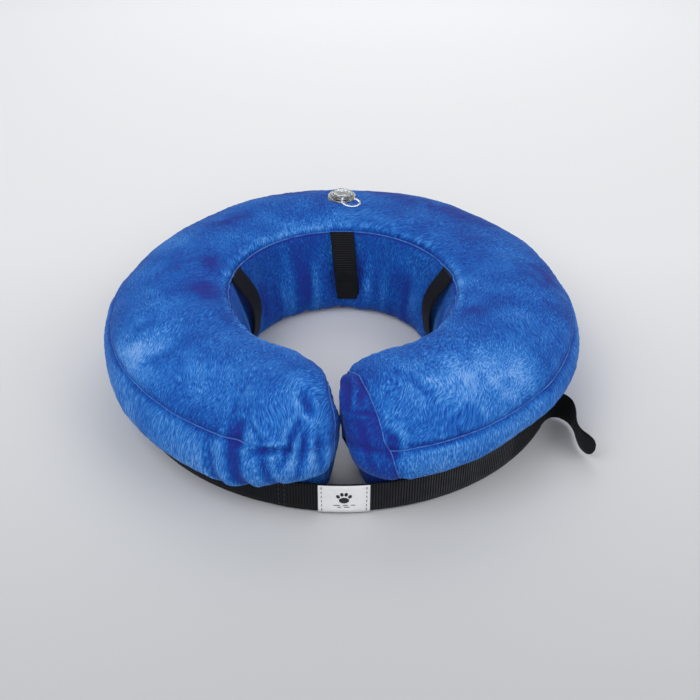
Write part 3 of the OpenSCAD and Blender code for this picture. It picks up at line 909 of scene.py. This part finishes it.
def make_touch_tapes():
    """Loop tape sewn to the right arm's lower band, and hook tape inside the strap's end."""
    points, phi = made_halves["right"]["points"], made_halves["right"]["phi"]
    normal = outward(points, "right")
    place = phi[:, V_OUTER + 20]
    rows = np.where((place > math.radians(120)) & (place < math.radians(166)))[0]
    step = np.linspace(0, 1, 46)
    fine_rows = np.linspace(rows[0], rows[-1], 2 * len(rows))
    grid = np.zeros((len(fine_rows), len(step), 3))
    for i, row in enumerate(fine_rows):
        low, share = int(row), row - int(row)
        line, up = ((1 - share) * v[low] + share * v[min(low + 1, len(v) - 1)] for v in (points, normal))
        degrees = 180 - math.degrees((1 - share) * phi[low, V_OUTER] + share * phi[low + 1, V_OUTER])
        top = B_OUTER + 31 - 5.0 * smooth((degrees - 35.0) / 1.5) + 0.7 * noise(row / 1.1, 0.0, 311)
        at = top + step * (B_OUTER + 64 - top)
        edge = np.minimum(np.minimum(i, len(fine_rows) - 1 - i) / 3, np.minimum(step, 1 - step) * 22)
        rise = 1.5 * np.clip(edge, 0, 1) - 0.5 + 0.35 * noise(row * 1.3, step * 40, 312) * np.clip(edge, 0, 1)
        for k in range(3):
            grid[i, :, k] = np.interp(at, b_line, line[:, k]) + rise * np.interp(at, b_line, up[:, k])
    loops = grid_piece("loop_pile", grid, {}, loop_pile)
    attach(loops, "right_arm")
    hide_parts("loop_tape")
    hooks = round_the_ring("hook_face", 301, 331.5, 173.3, 174.0, 3.0, 26.0, hook_face, rib=0.08, pitch=1.2)
    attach(hooks, "strap_end")
    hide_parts("hook_tape")


def make_loops():
    """Webbing loops: sewn flat at the foot and top of the neck wall and bowed off it between."""
    wall = even(bezier([(76, 6), (76, 25), (84, 55), NECK_SEAM]), 140)[20:]
    share = np.linspace(0, 1, 121)
    bow = 7.5 * np.sin(np.pi * share) ** 1.3
    ahead = unit(np.gradient(wall, axis=0))
    inward = np.stack([-ahead[:, 1], ahead[:, 0]], axis=1)
    line = wall + inward * (bow + 1.2)[:, None]
    ahead = unit(np.gradient(line, axis=0))
    hung = (("back", 90, "back", -6), ("right", 14, "right_arm", 3), ("left", 166, "left_arm", -3))
    for name, degrees, body, slant in hung:
        radial = on_circle(1, np.array([float(degrees)]), 0)[0]
        side = np.array([-radial[1], radial[0], 0])
        lift = np.array([0, 0, 1.0])
        spine = line[:, :1] * radial + line[:, 1:] * lift + side * (slant * (1 - share))[:, None]
        out = -ahead[:, 1:] * radial + ahead[:, :1] * lift
        piece = strip(f"loop_{name}", spine, np.tile(side, (len(line), 1)), out, 20, 1.5, webbing, rib=0.12)
        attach(piece, body)
        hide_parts(f"webbing_loop_{name}")


# ---------------------------------------------------------------- label and stitches
LABEL = (264.6, 276.4)
LABEL_OUT = 176.7


def curved_discs(name, discs, radius, thick, material):
    """Small raised shapes on the label: each (middle angle, height, half width, half height, turn)."""
    points, faces = [], []
    steps = 28
    for degrees, height, w, h, turn in discs:
        c, s = math.cos(math.radians(turn)), math.sin(math.radians(turn))
        base = len(points)
        for r, share in ((radius - 0.05, 1.0), (radius + thick * 0.7, 0.97), (radius + thick, 0.86)):
            for k in range(steps):
                t = 2 * math.pi * k / steps
                du, dv = w * share * math.cos(t), h * share * math.sin(t)
                angle = math.radians(degrees) + (du * c - dv * s) / radius
                points.append((r * math.cos(angle), r * math.sin(angle), height + du * s + dv * c))
        faces += closed_rings(3, steps, base)
    weave = np.array(points)[:, [0, 2, 1]]
    return mesh_piece(name, np.array(points), faces, {"weave": weave}, material)


def stitch_rows(name, angles, radius, z0, count, pitch, length, thick, body, node):
    """Upright rows of thread, each stitch sunk at both ends."""
    points, faces = [], []
    sides, rings = 8, 7
    for degrees in angles:
        for k in range(count):
            base = len(points)
            for i in range(rings):
                t = i / (rings - 1)
                arch = math.sin(math.pi * t)
                r = radius - 0.15 + thick * 0.5 * arch
                fat = thick / 2 * (0.45 + 0.55 * arch)
                angle = math.radians(degrees) + 0.0006 * math.sin(7.0 * k + degrees)
                for j in range(sides):
                    turn = 2 * math.pi * j / sides
                    rr = r + fat * math.sin(turn)
                    aa = angle + fat * math.cos(turn) / radius
                    points.append((rr * math.cos(aa), rr * math.sin(aa), z0 + k * pitch + t * length))
            faces += closed_rings(rings, sides, base)
    piece = mesh_piece(name, np.array(points), faces, material=thread)
    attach(piece, body)
    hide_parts(node)


def make_label():
    sheet = round_the_ring("label_tag", *LABEL, 176.0, LABEL_OUT, *STRAP_Z, label_cloth, across=10)
    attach(sheet, "strap_span")
    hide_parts("label")
    middle = sum(LABEL) / 2
    pad = [(middle, 13.6, 3.6, 2.7, 0)]
    toes = [(middle + u, z, 1.25, 1.75, turn) for u, z, turn in
            ((-1.35, 17.2, 24), (-0.48, 19.2, 8), (0.48, 19.2, -8), (1.35, 17.2, -24))]
    paw = curved_discs("label_paw", pad + toes, LABEL_OUT, 0.18, ink)
    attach(paw, "strap_span")
    lines = [(middle + u, z, w, 0.34, 0) for z, row in
             ((9.0, ((-1.7, 2.6), (0.3, 2.0), (2.0, 1.8))), (7.2, ((-1.1, 1.6), (0.6, 2.4))))
             for u, w in row]
    bars = curved_discs("label_lines", lines, LABEL_OUT, 0.12, ink)
    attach(bars, "strap_span")
    stitch_rows("label_thread", (LABEL[0] + 0.8, LABEL[1] - 0.8), LABEL_OUT, 3.2, 6, 4, 2.6, 0.55,
                "strap_span", "label_stitches")
    stitch_rows("strap_thread", (216.5, 221, 255.5, 256.8), STRAP_OUT + 0.1, 4, 5, 4.5, 2.6, 0.6,
                "left_arm", "strap_stitches")


# ---------------------------------------------------------------- zip
ZIP_R, ZIP_Z = 184.3, 38.25
ZIP_OUT = np.array([0.692, -0.722])
ZIP = (60.0, 120.0)


def zip_line(degrees, lift):
    return on_circle(ZIP_R + lift * ZIP_OUT[0], degrees, ZIP_Z + lift * ZIP_OUT[1])


def zip_axes(degrees):
    radial = on_circle(1, degrees, 0)
    lift = np.array([0.0, 0.0, 1.0])
    return radial * -ZIP_OUT[1] + lift * ZIP_OUT[0], radial * ZIP_OUT[0] + lift * ZIP_OUT[1]


def make_zip():
    degrees = np.linspace(*ZIP, 330)
    up, out = zip_axes(degrees)
    tape = strip("zip_cloth", zip_line(degrees, 0.9), up, out, 17, 1.6, zip_cloth, rib=0.05, pitch=1.2)
    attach(tape, "back")
    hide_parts("zip_tape")
    points, faces = [], []
    count = 150
    sides, rings = 8, 6
    for k, angle in enumerate(np.linspace(ZIP[0] + 0.8, ZIP[1] - 0.8, count)):
        up1, out1 = (v[0] for v in zip_axes(np.array([angle])))
        middle = zip_line(np.array([angle]), 1.45)[0]
        ahead = np.cross(up1, out1)
        side = 1 if k % 2 else -1
        base = len(points)
        for i in range(rings):
            t = i / (rings - 1)
            centre = middle + up1 * side * (2.3 - 2.9 * t) + out1 * 0.25 * math.sin(math.pi * t)
            fat = 0.42 + 0.2 * (t > 0.7)
            for j in range(sides):
                turn = 2 * math.pi * j / sides
                points.append(centre + fat * (math.cos(turn) * ahead + math.sin(turn) * out1))
        faces += closed_rings(rings, sides, base)
    teeth = mesh_piece("zip_teeth", np.array(points), faces, material=zip_nylon)
    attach(teeth, "back")
    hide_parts("zip_coil")


def dress_node(name, material, bevel_mm):
    """A CAD node whose shape is right keeps it, with a real finish and softened edges."""
    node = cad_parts[name]
    node.data.materials.clear()
    node.data.materials.append(material)
    soft = node.modifiers.new("soft_edges", "BEVEL")
    soft.width = bevel_mm * MM
    soft.segments = 2
    soft.limit_method = "ANGLE"
    soft.angle_limit = math.radians(40)


# ---------------------------------------------------------------- valve
def rounded(points, radius=0.25, steps=4):
    """A closed outline again, with its corners rounded."""
    made = []
    p = [np.array(q, float) for q in points]
    for k in range(len(p)):
        before, here, after = p[k - 1], p[k], p[(k + 1) % len(p)]
        if here[0] < 1e-6:
            made.append(here)
            continue
        a, b = before - here, after - here
        cut = min(radius, np.linalg.norm(a) * 0.45, np.linalg.norm(b) * 0.45)
        start, end = here + unit(a) * cut, here + unit(b) * cut
        for i in range(steps + 1):
            t = i / steps
            made.append((1 - t) ** 2 * start + 2 * (1 - t) * t * here + t * t * end)
    return made


def make_valve():
    crest = (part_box("cover_top_back")[1].z) / MM
    centre = (*VALVE, crest)
    flange = [(10.6, -2.8), (15.5, -2.8), (15.5, -1.6)]
    for k in range(4):
        r = 14.6 - k * 1.0
        flange += [(r, -1.25), (r - 0.35, -0.95), (r - 0.65, -1.25)]
    flange += [(10.6, -1.2)]
    pieces = {
        "valve_disc": (flange, "back", "valve_flange"),
        "valve_ring": (rounded([(8.6, -5), (11, -5), (11, 0.5), (12.6, 0.5), (12.6, 1.5), (8.6, 1.5)]),
                       "back", "valve_collar"),
        "valve_tube": (rounded([(5.6, -14), (8.3, -14), (8.3, 1.8), (9.8, 1.8), (9.8, 3.0), (5.6, 3.0)]),
                       "valve_stem", "valve_stem"),
        "valve_stopper": (rounded([(0, -3), (4.7, -3), (5.3, -1.5), (5.3, 3.3), (7.7, 3.3), (7.7, 4.8),
                                   (5.2, 4.8), (4.2, 4.1), (0, 4.1)]), "valve_plug", "valve_plug"),
        "valve_check": (rounded([(0, -15.1), (8, -15.1), (8, -14.3), (0, -14.3)]),
                        "valve_flap", "valve_flap"),
    }
    for name, (outline, body, node) in pieces.items():
        piece = lathe(name, outline, centre, vinyl)
        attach(piece, body)
        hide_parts(node)
    heading = math.radians(-60)
    off, radius = 15.7, 8
    ring = np.array([VALVE[0] + off * math.cos(heading), VALVE[1] + off * math.sin(heading)])
    turn = heading + np.radians(np.linspace(200, 500, 60))
    drop = 2.2 * smooth((np.linspace(0, 1, 60) - 0.1) / 0.5)
    loop = np.column_stack([ring[0] + radius * np.cos(turn), ring[1] + radius * np.sin(turn),
                            crest + 3.9 - drop])
    tether = tube("valve_leash", loop, 1.15, vinyl, sides=12, flat=0.55)
    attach(tether, "valve_plug")
    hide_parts("valve_tether")


# ---------------------------------------------------------------- floor, light and camera
def make_studio():
    made, tree, shader = new_material("studio_floor", Roughness=0.9, Specular_IOR_Level=0.1)
    parts = add(tree, "ShaderNodeSeparateXYZ", Vector=object_coords(tree))
    # Painted shade and light on the floor: darker towards the front, lighter towards the back.
    depth = add(tree, "ShaderNodeMapRange", Value=parts.outputs[1], _1=-0.55, _2=0.9)
    tree.links.new(ramp(tree, depth.outputs[0], [(0.08, (0.45, 0.46, 0.47)), (0.50, (0.80, 0.80, 0.80)),
                                                 (1.0, (0.97, 0.97, 0.97))]), shader.inputs["Base Color"])
    mesh = bpy.data.meshes.new("studio_floor")
    mesh.from_pydata([(-4, -4, 0), (4, -4, 0), (4, 6, 0), (-4, 6, 0)], [], [(0, 1, 2, 3)])
    mesh.materials.append(made)
    floor = bpy.data.objects.new("studio_floor", mesh)
    bpy.context.scene.collection.objects.link(floor)

    world = bpy.data.worlds.new("studio")
    world.use_nodes = True
    world.node_tree.nodes["Background"].inputs[0].default_value = (0.92, 0.95, 1.0, 1)
    world.node_tree.nodes["Background"].inputs[1].default_value = 0.42
    bpy.context.scene.world = world
    lamps = [((-0.75, -0.55, 1.25), 1.1, 9.2), ((1.0, -0.5, 0.9), 1.0, 5.5), ((0.1, 1.2, 1.1), 1.2, 7.0),
             ((0.0, -1.5, 0.8), 0.7, 5.0)]
    for place, size, power in lamps:
        lamp = bpy.data.lights.new("soft_light", "AREA")
        lamp.size = size
        lamp.energy = power
        holder = bpy.data.objects.new("soft_light", lamp)
        holder.location = place
        holder.rotation_euler = (Vector((0, 0, 0.04)) - Vector(place)).to_track_quat("-Z", "Y").to_euler()
        bpy.context.scene.collection.objects.link(holder)
    bpy.context.scene.view_settings.view_transform = "Standard"


def make_camera():
    """Where the photographer stood: 0.855 m off, 36.8 degrees above the ground, in front of the gap."""
    lens = bpy.data.cameras.new("camera")
    lens.sensor_width = 36.0
    lens.lens = 52.25
    lens.shift_x, lens.shift_y = 0.0117, 0.0197
    holder = bpy.data.objects.new("camera", lens)
    distance, rise = 0.855, math.radians(36.81)
    holder.location = (0, -distance * math.cos(rise), distance * math.sin(rise))
    holder.rotation_euler = (-holder.location).to_track_quat("-Z", "Y").to_euler()
    bpy.context.scene.collection.objects.link(holder)
    bpy.context.scene.camera = holder


make_camera()
for ring_side in SIDES:
    make_plush(ring_side)
    make_bladder(ring_side)
make_straps()
make_tail()
make_touch_tapes()
make_loops()
make_label()
make_zip()
for fitting, edge in (("zip_slider", 0.3), ("zip_pull", 0.25), ("zip_stops", 0.12)):
    dress_node(fitting, metal, edge)
make_valve()
make_studio()
